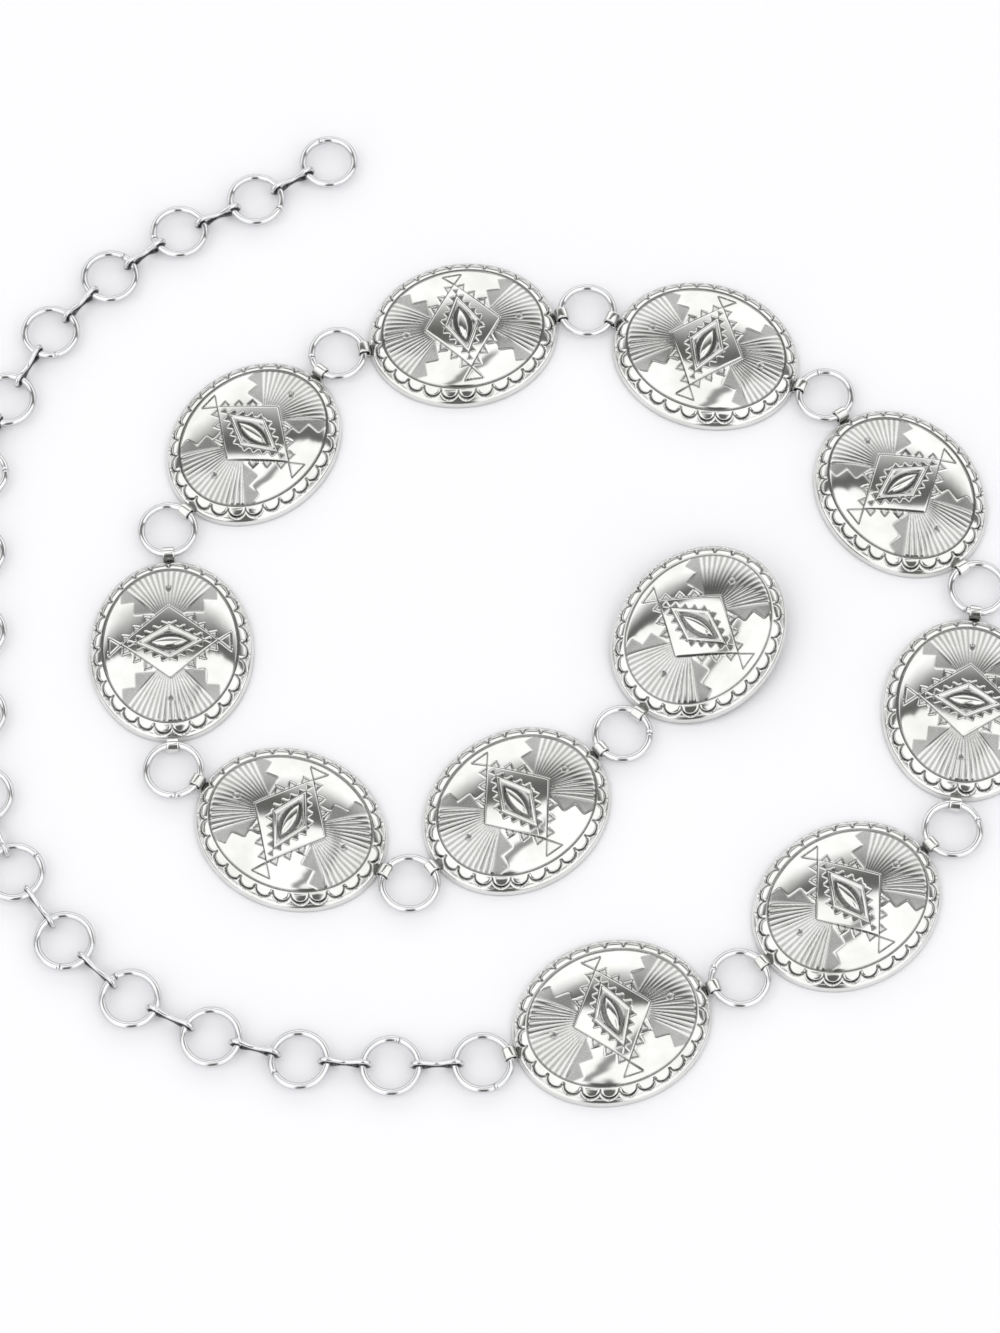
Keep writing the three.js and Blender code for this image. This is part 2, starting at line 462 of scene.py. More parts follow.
@dataclass(frozen=True)
class LaminateFinish:
    """A plain laminate: one colour under a soft sheen."""

    name: str
    colour: str
    roughness: float
    specular: float

    def material(self) -> bpy.types.Material:
        """Builds the finish.

        Returns:
            The material.
        """
        made = bpy.data.materials.new(self.name)
        made.use_nodes = True
        tree = made.node_tree
        tree.nodes.clear()
        look = {
            "Base Color": linear(self.colour),
            "Roughness": self.roughness,
            "Specular IOR Level": self.specular,
        }
        shader = add_node(tree, "BsdfPrincipled", sockets=look)
        add_node(tree, "OutputMaterial", links={"Surface": (shader, "BSDF")})
        return made


# Silver plating over cast zinc alloy, blackened and buffed back: mirror-bright high metal with
# oxide left in the stamping. The 0.25 mm grain is coarser than real buffing, so that it shows.
# Its oxide colour also paints the shade at the foot of each concho's rim and on the straps.
ANTIQUED_SILVER = SilverFinish(
    name="antiqued_silver_plate",
    metal="E9E9E7",
    film="CDCEC8",
    oxide="2F3031",
    roughness=0.08,
    oxide_roughness=0.2,
    grain_mm=0.25,
    cloud_mm=9.0,
    grain_depth_mm=0.012,
)

# Drawn wire with bright silver plating, tumbled smooth: near white. Its oxide colour serves only as
# painted shade, on the rings' lower sides and on the links' lower wires and inside their eyes.
BRIGHT_WIRE = SilverFinish(
    name="bright_silver_plated_wire",
    metal="E8E8E9",
    film="D6D7D8",
    oxide="2C2D30",
    roughness=0.12,
    oxide_roughness=0.45,
    grain_mm=0.5,
    cloud_mm=6.0,
    grain_depth_mm=0.006,
)

# Pressed white laminate with a satin face: near white and too dull to mirror the belt.
WHITE_LAMINATE = LaminateFinish(name="white_laminate", colour="FCFBFE", roughness=0.55, specular=0.2)


def add_piece(
    name: str,
    surface: Surface,
    material: bpy.types.Material,
    nodes: tuple[str, ...] = (),
) -> None:
    """Makes a finished piece that rides on the belt, its own origin at the frame's.

    Args:
        name: The piece's name.
        surface: Its mesh, in the frame's metres.
        material: Its finish.
        nodes: The CAD nodes that it stands for.
    """
    for label in ("oxide_and_painted_shade", "matte"):
        surface.values.setdefault(label, np.zeros(len(surface.points)))
    piece = bpy.data.objects.new(name, surface.mesh(name))
    bpy.context.scene.collection.objects.link(piece)
    piece.data.materials.append(material)
    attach(piece, BODY)
    if nodes:
        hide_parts(*nodes)
    LOG.info("%s: %d faces", name, len(piece.data.polygons))


@dataclass(frozen=True)
class Joinery:
    """The sizes at which rings, straps and links hold each other."""

    ring_outer: float = 15.6
    ring_wire: float = 1.9
    link_wire: float = 1.2
    eye_clearance: float = 0.3

    @property
    def ring_radius(self) -> float:
        """Radius of a ring's wire centre."""
        return (self.ring_outer - self.ring_wire) / 2

    @property
    def eye_inner(self) -> float:
        """Inner radius of a strap's or link's eye."""
        return self.ring_wire / 2 + self.eye_clearance

    @property
    def ring_plane(self) -> float:
        """Height of the rings' wire centre over the table."""
        return self.eye_inner + self.link_wire


@dataclass
class Stamping:
    """What the stamps have done to a concho's face, as arrays over its points.

    Places are folded into the first quarter, and relief is in millimetres. The dark share is the black
    oxide, and the painted shade at the rim's foot, and matte is the dullness, both from 0 to 1.
    """

    u: np.ndarray
    v: np.ndarray
    relief: np.ndarray
    oxide_and_painted_shade: np.ndarray
    matte: np.ndarray

    def sink(self, mark: np.ndarray, depth: float, oxide: Strength) -> None:
        """Lowers the metal by depth times the mark, and blackens it."""
        self.relief -= depth * mark
        self.blacken(oxide.value * mark)

    def blacken(self, share: np.ndarray) -> None:
        """Keeps the stronger of the darkness that is there and this share; it serves oxide and painted
        shade alike.
        """
        np.maximum(self.oxide_and_painted_shade, share, out=self.oxide_and_painted_shade)


@dataclass(frozen=True)
class Ornament:
    """The stamped pattern of a concho, the same in all four quarters.

    Lengths are in millimetres on u and v. A pair whose name ends in edge gives the value where
    a mark starts and the value where it is full.
    """

    # Stamped lines, and how far soft and crisp edges slope to either side.
    line: float = 0.17
    line_soft: float = 0.07
    line_depth: float = 0.16
    line_offset: float = 0.12
    soft: float = 0.15
    crisp: float = 0.1

    # The raised diamond, its lines that cross past the long corners, and the barbs along them.
    diamond: tuple[float, float] = (10.0, 12.4)
    diamond_relief: float = 0.42
    cross_reach: float = 3.9
    tip_base: float = 15.5
    barbs: tuple[float, ...] = (6.6, 10.3, 13.9)
    barb: tuple[float, float] = (1.15, 1.6)
    barb_slope: float = 0.8
    barb_film: float = 0.3

    # The frame on the diamond, the teeth outside it, the lens sunk in it and the eye in the lens.
    frame: tuple[float, float] = (4.7, 8.5)
    frame_width: float = 0.85
    frame_relief: float = 0.22
    frame_edge: tuple[float, float] = (0.2, 0.08)
    teeth: int = 4
    tooth: tuple[float, float] = (0.95, 1.35)
    tooth_gap: float = 0.2
    tooth_edge: tuple[float, float] = (-0.08, 0.12)
    lens: tuple[float, float] = (2.6, 5.9)
    lens_depth: float = 0.3
    lens_soft: float = 0.25
    lens_tip: float = 0.4
    eye: tuple[float, float] = (1.3, 4.6)
    eye_relief: float = 0.34
    eye_edge: tuple[float, float] = (0.22, 0.05)
    eye_foot: float = 0.5
    eye_bare: tuple[float, float] = (0.1, 0.4)

    # The fan of rays. Its crests and grooves are told apart by |sin| of the angle.
    fan_start: float = 4.2
    fan_angle: float = math.radians(44.0)
    fan_rays: int = 8
    fan_relief: float = 0.05
    fan_soft: float = 0.01
    fan_edge: tuple[float, float] = (0.26, 0.1)
    groove_edge: tuple[float, float] = (0.85, 0.5)
    crest_film: float = 0.1
    ray_clear: tuple[float, float] = (0.15, 0.7)

    # The stepped field, each step as its start along u and its reach across v, and the thin rule.
    steps: tuple[tuple[float, float], ...] = ((8.0, 8.9), (11.7, 12.3))
    step_depth: float = 0.1
    step_end: tuple[float, float] = (17.6, 17.2)
    rule: float = 6.5
    rule_edge: tuple[float, float] = (0.17, 0.04)
    rule_depth: float = 0.112

    # The punched dimple in the fan.
    dimple: tuple[float, float] = (15.0, 0.65)
    dimple_depth: float = 0.3
    dimple_soft: tuple[float, float] = (0.15, 0.2)

    # The inner oval's line and the scallops outside it.
    free_gap: float = 0.2
    oval_gap: tuple[float, float] = (-0.15, -0.35)
    oval_edge: tuple[float, float] = (0.32, 0.12)
    scallops: int = 28
    scallop_start: float = 0.7
    scallop_reach: float = 2.1
    scallop_depth: float = 0.5
    scallop_edge: tuple[float, float] = (1.05, 0.99)
    scallop_slope: tuple[float, float] = (0.85, 1.3)
    crescent: tuple[float, float] = (0.28, 0.6)
    crescent_edge: tuple[float, float] = (0.97, 1.08)

    def add_diamond(self, made: Stamping) -> None:
        """Raises the diamond and its frame, and sinks the lens between them and the eye.

        The diamond is the inside of a rhombus. The frame is a band just inside a smaller one, and
        the lens holds the points where u < a (1 - (v/b)^2).

        Args:
            made: The stamping so far, changed in place.
        """
        inner = to_rhombus(made.u, made.v, *self.frame)
        under = inner + self.frame_width
        made.relief += self.diamond_relief * within(to_rhombus(made.u, made.v, *self.diamond), self.soft)
        made.relief += self.frame_relief * within(inner, self.crisp) * (1 - within(under, self.crisp))
        well = smooth(self.crisp, -self.soft, under)
        made.sink(well, self.frame_relief, Strength.HAZE)
        lens = made.u - self.lens[0] * np.clip(1 - (made.v / self.lens[1]) ** 2, 0, None)
        tip = smooth(self.lens[1], self.lens[1] - self.lens_tip, made.v)
        made.sink(within(lens, self.lens_soft) * tip * well, self.lens_depth, Strength.LINE)
        self.add_eye(made, well)
        edge = smooth(*self.frame_edge, np.abs(inner - self.line_offset))
        made.sink(edge, self.line_depth, Strength.LINE)

    def add_eye(self, made: Stamping, well: np.ndarray) -> None:
        """Raises the bright eye: its half width is a (1 - (v/b)^2) and its section sqrt(1 - (u/half)^2).

        Args:
            made: The stamping so far, changed in place.
            well: 1 inside the frame.
        """
        half = self.eye[0] * np.clip(1 - (made.v / self.eye[1]) ** 2, 0, None)
        present = half > 0
        across = np.clip(made.u / np.where(present, half, 1), 0, 1)
        over = np.sqrt(1 - across**2) * present
        rise = self.lens_depth * smooth(0, self.eye_foot, over) + self.eye_relief * over
        made.relief += rise * (half / self.eye[0]) ** 0.5
        outline = smooth(*self.eye_edge, np.abs(made.u - half - self.line_offset)) * well * present
        made.blacken(Strength.BLACK.value * outline)
        made.oxide_and_painted_shade *= 1 - smooth(*self.eye_bare, over)

    def add_teeth(self, made: Stamping) -> None:
        """Stamps a row of small triangles on the outside of the frame, their points outward.

        A tooth holds the points within half * (1 - height / tall) of its middle along the edge.

        Args:
            made: The stamping so far, changed in place.
        """
        length = math.hypot(*self.frame)
        along = ((self.frame[0] - made.u) * self.frame[0] + made.v * self.frame[1]) / length
        height = to_rhombus(made.u, made.v, *self.frame) - self.tooth_gap
        pitch = length / self.teeth
        centre = (np.floor(along / pitch) + 0.5) * pitch
        room = self.tooth[0] * (1 - height / self.tooth[1]) - np.abs(along - centre)
        made.sink(smooth(*self.tooth_edge, room) * (height > 0), self.line_depth, Strength.LINE)

    def add_barbs(self, made: Stamping) -> None:
        """Stamps the diamond's lines, which cross at its long corners, and the barbs along them.

        A line is where the distance to its segment is small, and a barb's outline is where the
        room inside its triangle, as for a tooth, is near 0.

        Args:
            made: The stamping so far, changed in place.
        """
        u, v = made.u, made.v
        length = math.hypot(*self.diamond)
        reach = self.cross_reach / length
        corner = (0.0, self.diamond[1])
        crossed = (self.diamond[0] * reach, self.diamond[1] * (1 + reach))
        segments = (
            ((self.diamond[0], 0.0), corner),
            (corner, crossed),
            ((0.0, self.tip_base), (crossed[0], self.tip_base)),
        )
        lines = np.minimum.reduce([to_segment(u, v, *pair) for pair in segments])
        along = ((self.diamond[0] - u) * self.diamond[0] + v * self.diamond[1]) / length
        height = to_rhombus(u, v, *self.diamond)
        for middle in self.barbs:
            room = self.barb[0] * (1 - height / self.barb[1]) - np.abs(along - middle)
            outline = np.minimum(lines, np.abs(room * self.barb_slope))
            lines = np.where(height > 0, outline, lines)
            made.blacken(Strength.FILM.value * smooth(0, self.barb_film, room) * (height > 0))
        mark = smooth(self.line + self.line_soft, self.line - self.line_soft, lines)
        made.sink(mark, self.line_depth, Strength.LINE)

    def add_fan(self, made: Stamping, free: np.ndarray) -> None:
        """Stamps a fan of rays: its crests are |sin| of the angle about the fan's start.

        Where the rays run together near the start, they are one even haze.

        Args:
            made: The stamping so far, changed in place.
            free: 1 where the fan may lie: outside the diamond and inside the inner oval.
        """
        out = np.hypot(made.u - self.fan_start, made.v)
        angle = np.arctan2(made.v, made.u - self.fan_start)
        room = free * (made.u > self.fan_start)
        covered = within(angle - self.fan_angle, self.fan_soft) * room
        crest = np.abs(np.sin(math.pi * angle / self.fan_angle * self.fan_rays))
        groove = smooth(*self.groove_edge, crest)
        clear = smooth(*self.ray_clear, out * self.fan_angle / self.fan_rays)
        ray = self.crest_film + (Strength.MATTE.value - self.crest_film) * groove
        made.relief += self.fan_relief * covered * (crest**2 - 1)
        made.blacken(covered * (Strength.HAZE.value * (1 - clear) + clear * ray))
        border = smooth(*self.fan_edge, np.abs(angle - self.fan_angle) * out) * room
        made.blacken(Strength.MATTE.value * border)

    def add_steps(self, made: Stamping, free: np.ndarray) -> None:
        """Sinks the stepped matte field beside the fan, and the thin rule that leads away from it.

        The field is all that lies past a step's start along u and within its reach across v.

        Args:
            made: The stamping so far, changed in place.
            free: 1 where the field may lie: outside the diamond and inside the inner oval.
        """
        past_start = made.u - self.fan_start
        beyond_fan = made.v * math.cos(self.fan_angle) - past_start * math.sin(self.fan_angle)
        matte = np.zeros_like(made.u)
        for start, reach in self.steps:
            step = within(start - made.u, self.soft) * within(made.v - reach, self.soft)
            matte = np.maximum(matte, step)
        matte *= within(-beyond_fan, self.crisp) * free * smooth(*self.step_end, made.u)
        made.sink(matte, self.step_depth, Strength.MATTE)
        np.maximum(made.matte, matte, out=made.matte)
        rule = smooth(*self.rule_edge, np.abs(made.v - self.rule)) * (made.u < self.steps[0][0]) * free
        made.sink(rule, self.rule_depth, Strength.LINE)

    def add_dimple(self, made: Stamping) -> None:
        """Punches the round dimple, as a smooth step of the distance from its middle.

        Args:
            made: The stamping so far, changed in place.
        """
        from_middle = np.hypot(made.u - self.dimple[0], made.v) - self.dimple[1]
        spot = smooth(self.dimple_soft[0], -self.dimple_soft[1], from_middle)
        made.sink(spot, self.dimple_depth, Strength.LINE)

    def add_border(self, made: Stamping, depth: np.ndarray, along: np.ndarray, pitch: float) -> None:
        """Stamps the inner oval's line and the scallops.

        A scallop is a half ellipse that sinks slowly towards its outer edge and ends there in a
        steep wall, and the oxide fills the crescent along that wall.

        Args:
            made: The stamping so far, changed in place.
            depth: Distance out from the inner oval.
            along: Distance round the oval.
            pitch: Distance from one scallop to the next.
        """
        made.sink(smooth(*self.oval_edge, np.abs(depth)), self.line_depth, Strength.LINE)
        half = pitch / 2
        side = (along / pitch) % 1 * pitch - half
        height = np.clip(depth - self.scallop_start, 0, None)
        outer_arc = np.hypot(side / half, height / self.scallop_reach)
        inner_half = half - self.crescent[0]
        inner_arc = np.hypot(side / inner_half, height / (self.scallop_reach - self.crescent[1]))
        above = (depth > self.scallop_start) * smooth(*self.scallop_edge, outer_arc)
        made.relief -= self.scallop_depth * above * smooth(*self.scallop_slope, inner_arc)
        made.blacken(Strength.BLACK.value * above * smooth(*self.crescent_edge, inner_arc))

    def stamp(self, points: np.ndarray, depth: np.ndarray, along: np.ndarray, pitch: float) -> Stamping:
        """Works out the whole pattern at every point.

        Args:
            points: The points, n by 3; their u and v count.
            depth: Distance out from the inner oval, below 0 inside it.
            along: Distance round the oval.
            pitch: Distance from one scallop to the next.

        Returns:
            The finished stamping.
        """
        u, v = np.abs(points[:, 0]), np.abs(points[:, 1])
        made = Stamping(u, v, *(np.zeros_like(u) for _ in range(3)))
        free = smooth(0.0, self.free_gap, to_rhombus(u, v, *self.diamond)) * smooth(*self.oval_gap, depth)
        self.add_fan(made, free)
        self.add_steps(made, free)
        self.add_diamond(made)
        self.add_teeth(made)
        self.add_barbs(made)
        self.add_dimple(made)
        self.add_border(made, depth, along, pitch)
        return made


@dataclass(frozen=True)
class StampedConcho:
    """An oval domed concho: a stamped face, a rounded rim and a hollow back, in millimetres."""

    length: float = 50.0
    width: float = 42.2
    height: float = 7.0
    dome_power: float = 2.6
    wall: float = 1.2
    border: float = 3.9
    border_swell: float = 0.22
    rim_round: float = 0.9
    rim_power: float = 1.3
    rim_flat: float = 0.25
    # Heights where the painted shade along the rim's foot, next to the table, starts and is full.
    rim_painted_shade: tuple[float, float] = (1.0, 0.6)
    ornament: Ornament = field(default_factory=Ornament)

    # The face's grid: how many rings it has, and which lie on the frame, the diamond and the oval.
    rings: int = 96
    diamond_rings: tuple[int, int] = (20, 38)
    oval_ring: int = 70
    skirt_rings: int = 9
    section_steps: int = 160
    oval_chords: int = 720

    # The back's grid: one point for each join_every of the face's rim.
    join_every: int = 8
    back_rows: int = 7

    @property
    def inner_radius(self) -> float:
        """Radius, across the belt, of the inner oval where the border starts."""
        return self.width / 2 - self.border

    def dome(self, share: np.ndarray) -> np.ndarray:
        """Height of the dome, height * sqrt(1 - share^power), at a share of the way to the rim."""
        return self.height * np.sqrt(np.clip(1 - share**self.dome_power, 0, None))

    def oval(self, radius: np.ndarray, angle: np.ndarray, height: np.ndarray) -> np.ndarray:
        """Places round coordinates on the oval.

        u is cos t times the radius plus (length - width)/2, in full from the border outward and
        in proportion inside it, and v is sin t times the radius.

        Args:
            radius: Distance from the middle, measured across the belt.
            angle: Angle t from +u towards +v.
            height: Height over the rim plane.

        Returns:
            The points, n by 3.
        """
        stretch = (self.length - self.width) / 2 * np.minimum(1, radius / self.inner_radius)
        return np.stack([np.cos(angle) * (radius + stretch), np.sin(angle) * radius, height], -1)

    def profile(self) -> tuple[np.ndarray, np.ndarray]:
        """Radius and height of the face's section, from the middle to the bottom of the rim.

        The dome runs to the rim's rounding in even steps, and the rounding goes out along
        sin(t)^power and down along cos t over a quarter turn.

        Returns:
            The section's radii and heights.
        """
        half_width = self.width / 2
        edge = half_width - self.rim_round
        radius = np.linspace(0, edge, self.section_steps)
        height = self.dome(radius / half_width)
        turn = np.linspace(0, math.pi / 2, self.skirt_rings + 1)[1:]
        drop = height[-1] - self.rim_flat
        radius = np.concatenate([radius, edge + self.rim_round * np.sin(turn) ** self.rim_power])
        return radius, np.concatenate([height, self.rim_flat + drop * np.cos(turn)])

    def grid(self) -> tuple[np.ndarray, np.ndarray]:
        """Lays a square grid's square rings as rhombi over the diamond and as ovals outside it.

        Point (x, y) lies on ring max(|x|, |y|), a share s of the way from corner q to the next.
        It goes to (1 - s) corner_q + s corner_q+1 of a rhombus that grows from nothing through the
        frame to the diamond, then in a straight line to the inner oval, and then outward.

        Returns:
            Each point's radius and angle, before the oval is stretched.
        """
        axis = np.arange(-self.rings, self.rings + 1)
        x, y = (part.ravel() for part in np.meshgrid(axis, axis))
        ring = np.maximum(np.abs(x), np.abs(y))
        wide = np.abs(x) >= np.abs(y)
        slope = np.where(wide, y, x) / np.where(ring == 0, 1, np.where(wide, x, y))
        side = np.where(wide, slope / 2 + 2 * (x < 0), 1 - slope / 2 + 2 * (y < 0)) + 0.5
        corner = np.floor(side)
        share = side - corner
        start, end = corner * math.pi / 2, (corner + 1) * math.pi / 2
        turn = side * math.pi / 2
        inner = self.inner_radius
        stretch = 1 + (self.length - self.width) / 2 / inner
        sizes = np.array([(0.0, 0.0), self.ornament.frame, self.ornament.diamond]) / (stretch, 1)
        half_u, half_v = (np.interp(ring, (0, *self.diamond_rings), size) for size in sizes.T)
        last_rhombus = self.diamond_rings[1]
        out = np.clip((ring - last_rhombus) / (self.oval_ring - last_rhombus), 0, 1)
        rhombus_u = half_u * ((1 - share) * np.cos(start) + share * np.cos(end))
        rhombus_v = half_v * ((1 - share) * np.sin(start) + share * np.sin(end))
        u = (1 - out) * rhombus_u + out * inner * np.cos(turn)
        v = (1 - out) * rhombus_v + out * inner * np.sin(turn)
        border_rings = self.rings - self.skirt_rings - self.oval_ring
        border = np.linspace(0, self.border - self.rim_round, border_rings + 1)
        border = np.concatenate([border, self.profile()[0][-self.skirt_rings :] - inner])
        return np.hypot(u, v) + border[np.clip(ring - self.oval_ring, 0, None)], np.arctan2(v, u)

    def face(self) -> tuple[Surface, np.ndarray]:
        """The stamped face: the grid's points, moved along the dome's normal by the relief.

        The border also swells by sin(pi * share of the way across it).

        Returns:
            The face and the numbers of its outermost points, anticlockwise.
        """
        radius, angle = self.grid()
        radii, heights = self.profile()
        height = np.interp(radius, radii, heights)
        points = self.oval(radius, angle, height)
        fall = np.interp(radius, radii, np.gradient(heights, radii))
        normal = np.stack([-fall * np.cos(angle), -fall * np.sin(angle), np.ones_like(angle)], -1)
        normal /= np.linalg.norm(normal, axis=1, keepdims=True)
        depth = radius - self.inner_radius
        along, pitch = self.round_oval(angle, self.inner_radius + self.border / 2)
        stamped = self.ornament.stamp(points, depth, along, pitch)
        # Painted shade: darkens the rim's foot next to the table.
        stamped.blacken(Strength.FILM.value * smooth(*self.rim_painted_shade, height))
        swell = np.sin(math.pi * np.clip(depth / (self.border - self.rim_round), 0, 1))
        points += normal * (stamped.relief + self.border_swell * swell)[:, None]
        count = 2 * self.rings + 1
        numbers = np.arange(count * count).reshape(count, count)
        quads = np.stack([numbers[:-1, :-1], numbers[:-1, 1:], numbers[1:, 1:], numbers[1:, :-1]], -1)
        sides = [numbers[0, :-1], numbers[:-1, -1], numbers[-1, :0:-1], numbers[:0:-1, 0]]
        values = {"oxide_and_painted_shade": stamped.oxide_and_painted_shade, "matte": stamped.matte}
        return Surface(points, quads.reshape(-1, 4), values=values), np.concatenate(sides)

    def round_oval(self, angle: np.ndarray, radius: float) -> tuple[np.ndarray, float]:
        """Distance round the oval at each angle, summed from short chords, and the scallops' pitch.

        Args:
            angle: Angles of the points.
            radius: Radius, across the belt, of the oval that is measured.

        Returns:
            The distances, and the oval's length divided by the number of scallops.
        """
        steps = np.linspace(-math.pi, math.pi, self.oval_chords + 1)
        line = self.oval(np.full_like(steps, radius), steps, np.zeros_like(steps))
        run = np.concatenate([[0], np.cumsum(np.linalg.norm(np.diff(line, axis=0), axis=1))])
        turned = (angle + math.pi) % (2 * math.pi) - math.pi
        return np.interp(turned, steps, run), run[-1] / self.ornament.scallops

    def back(self) -> Surface:
        """The rim's flat and the hollow back, as ovals that shrink inward along a sine.

        The hollow's height is the dome's, reduced in proportion by the wall. The columns start at -v,
        where the face's first corner lies.

        Returns:
            The back, matte under a film of oxide. Its last point is the pole.
        """
        columns = 8 * self.rings // self.join_every
        half_width = self.width / 2
        share = np.sin(np.linspace(1, 0, self.back_rows + 1)[:-1] * math.pi / 2)
        radius = np.concatenate([[half_width - self.rim_flat], (half_width - self.wall) * share])
        height = np.concatenate([[0.0], self.dome(share) * (1 - self.wall / self.height)])
        angle = -0.5 * math.pi + np.arange(columns) * 2 * math.pi / columns
        rows = len(radius)
        points = self.oval(np.repeat(radius, columns), np.tile(angle, rows), np.repeat(height, columns))
        points = np.vstack([points, [[0, 0, height[-1]]]])
        i, j = np.meshgrid(np.arange(rows - 1), np.arange(columns), indexing="ij")
        after = (j + 1) % columns
        row, below = i * columns, (i + 1) * columns
        quads = np.stack([row + j, below + j, below + after, row + after], -1).reshape(-1, 4)
        last = (rows - 1) * columns + np.arange(columns)
        fan = np.stack([last, np.full(columns, rows * columns), np.roll(last, -1)], -1)
        dull = np.ones(len(points))
        return Surface(points, quads, fan, {"oxide_and_painted_shade": Strength.FILM.value * dull, "matte": dull})

    def surface(self) -> Surface:
        """The whole closed concho in its own axes.

        Returns:
            The face and back, joined round the rim by triangles.
        """
        face, loop = self.face()
        whole = face.joined(self.back())
        columns = len(loop) // self.join_every
        upper = loop.reshape(columns, self.join_every)
        upper = np.hstack([upper, np.roll(upper[:, :1], -1, 0)])
        lower = len(face.points) + np.arange(columns)
        after = np.roll(lower, -1)
        half = self.join_every // 2
        seam = [np.stack([lower, after, upper[:, half]], -1)]
        for k in range(self.join_every):
            foot = lower if k < half else after
            seam.append(np.stack([foot, upper[:, k + 1], upper[:, k]], -1))
        whole.triangles = np.vstack([whole.triangles, *seam])
        return whole


@dataclass(frozen=True)
class RingStrap:
    """A soldered strap that comes out under a concho's rim and curls round the ring's wire.

    Its shadow gives where the painted shadow at its root, under the concho, starts and is full, measured
    outward from the concho's end, and eye_shadow how far the painted shade inside its curl reaches.
    """

    joinery: Joinery = field(default_factory=Joinery)
    width: float = 2.9
    thickness: float = 0.65
    bite: float = 0.4
    tongue: float = 6.0
    curl_end: float = math.radians(205)
    shadow: tuple[float, float] = (0.9, -0.6)
    eye_shadow: float = 0.2
    tongue_steps: int = 5
    curl_steps: int = 26
    section_points: int = 20
    squareness: float = 7.0

    @property
    def outer(self) -> float:
        """Outer radius of the curl."""
        return self.joinery.eye_inner + self.thickness

    def eye_place(self, concho: StampedConcho) -> float:
        """Distance from the concho's middle to the middle of the strap's eye."""
        return concho.length / 2 + self.outer - self.bite

    def surface(self, concho: StampedConcho, end: int) -> Surface:
        """The strap at one end: a flat tongue and then an arc of a circle about the eye.

        Args:
            concho: The concho that it is soldered to.
            end: 1 for the +u end and -1 for the other.

        Returns:
            The strap in the concho's axes.
        """
        eye, middle = self.eye_place(concho), self.joinery.eye_inner + self.thickness / 2
        turn = np.linspace(-math.pi / 2, self.curl_end, self.curl_steps)
        straight = np.linspace(eye - self.tongue, eye, self.tongue_steps + 1)[:-1]
        u = np.concatenate([straight, eye + middle * np.cos(turn)])
        z = np.concatenate([np.full(self.tongue_steps, -middle), middle * np.sin(turn)])
        path = upright(u, z + self.joinery.ring_plane)
        section = strip_section(self.thickness, self.width, self.section_points, self.squareness)
        made = swept(path, section, ACROSS, False)
        out, up = made.points[:, 0] - eye, made.points[:, 2] - self.joinery.ring_plane
        # Painted shade inside the curl, where the ring's wire sits, and at the root under the concho.
        inside = smooth(middle, middle - self.eye_shadow, np.hypot(out, up))
        painted_root_shade = smooth(*self.shadow, made.points[:, 0] - concho.length / 2)
        made.values["oxide_and_painted_shade"] = Strength.LINE.value * np.maximum(painted_root_shade, inside)
        made.points[:, :2] *= end
        return made


@dataclass(frozen=True)
class WireRing:
    """A round ring of bright wire, cut once and closed to a hairline seam.

    Above clear_share of the wire's radius its metal is bare; below that, painted shade darkens its lower
    side, in full from its middle height down.
    """

    joinery: Joinery = field(default_factory=Joinery)
    seam: float = 0.12
    clear_share: float = 0.8
    steps: int = 60
    wire_sides: int = 14

    def surface(self, seam_angle: float) -> Surface:
        """The ring lying flat: a circle that stops short of itself by the seam.

        Args:
            seam_angle: Where the seam lies, in radians.

        Returns:
            The ring about its own middle.
        """
        gap = self.seam / self.joinery.ring_radius / 2
        turn = np.linspace(seam_angle + gap, seam_angle + 2 * math.pi - gap, self.steps)
        circle = np.stack([np.cos(turn), np.sin(turn), np.zeros_like(turn)], -1)
        section = round_section(self.joinery.ring_wire, self.wire_sides)
        made = swept(circle * self.joinery.ring_radius, section, UP, False)
        # Painted shade on the lower side of the wire.
        low = smooth(self.clear_share, 0.0, made.points[:, 2] / section[:, 1].max())
        made.values["oxide_and_painted_shade"] = Strength.FILM.value * low
        return made


@dataclass(frozen=True)
class TailLink:
    """A wire link that stands on edge, with a round eye at each end and a pinched waist.

    Painted shade makes its wire black inside the eyes and dark on the lower half, save within
    waist_bright of its middle, which is left bright.
    """

    joinery: Joinery = field(default_factory=Joinery)
    length: float = 13.6
    waist_gap: float = 0.3
    waist_bright: float = 1.3
    eye_black: float = 0.5
    low_share: float = 0.3
    steps: int = 18
    wire_sides: int = 12

    def surface(self) -> Surface:
        """The link: a half circle round each eye, joined by wires that draw in to the waist.

        The wires draw in along 3t^2 - 2t^3 of the distance from the waist.

        Returns:
            The link about its own middle, along u and upright.
        """
        wire = self.joinery.link_wire
        bend = self.joinery.eye_inner + wire / 2
        waist = (wire + self.waist_gap) / 2
        eye = self.length / 2 - wire - self.joinery.eye_inner
        turn = np.linspace(-math.pi / 2, math.pi / 2, self.steps)
        run = np.linspace(eye, -eye, self.steps)[1:-1]
        upper = waist + (bend - waist) * smooth(0, eye, np.abs(run))
        u = np.concatenate([eye + bend * np.cos(turn), run])
        z = np.concatenate([bend * np.sin(turn), upper])
        u, z = np.concatenate([u, -u]), np.concatenate([z, -z])
        path = upright(u, z)
        section = round_section(wire, self.wire_sides)
        made = swept(path, section, -ACROSS, True)
        # Painted shade: black inside the eyes, dark on the lower wire away from the waist.
        facing_in = np.tile(-section[:, 0] / wire * 2, len(path))
        low = smooth(self.low_share, -self.low_share, made.points[:, 2] / bend)
        by_eye = smooth(self.waist_bright, 2 * self.waist_bright, np.abs(made.points[:, 0]))
        inside = Strength.BLACK.value * smooth(0.0, self.eye_black, facing_in)
        made.values["oxide_and_painted_shade"] = np.maximum(inside, Strength.LINE.value * low * by_eye)
        return made


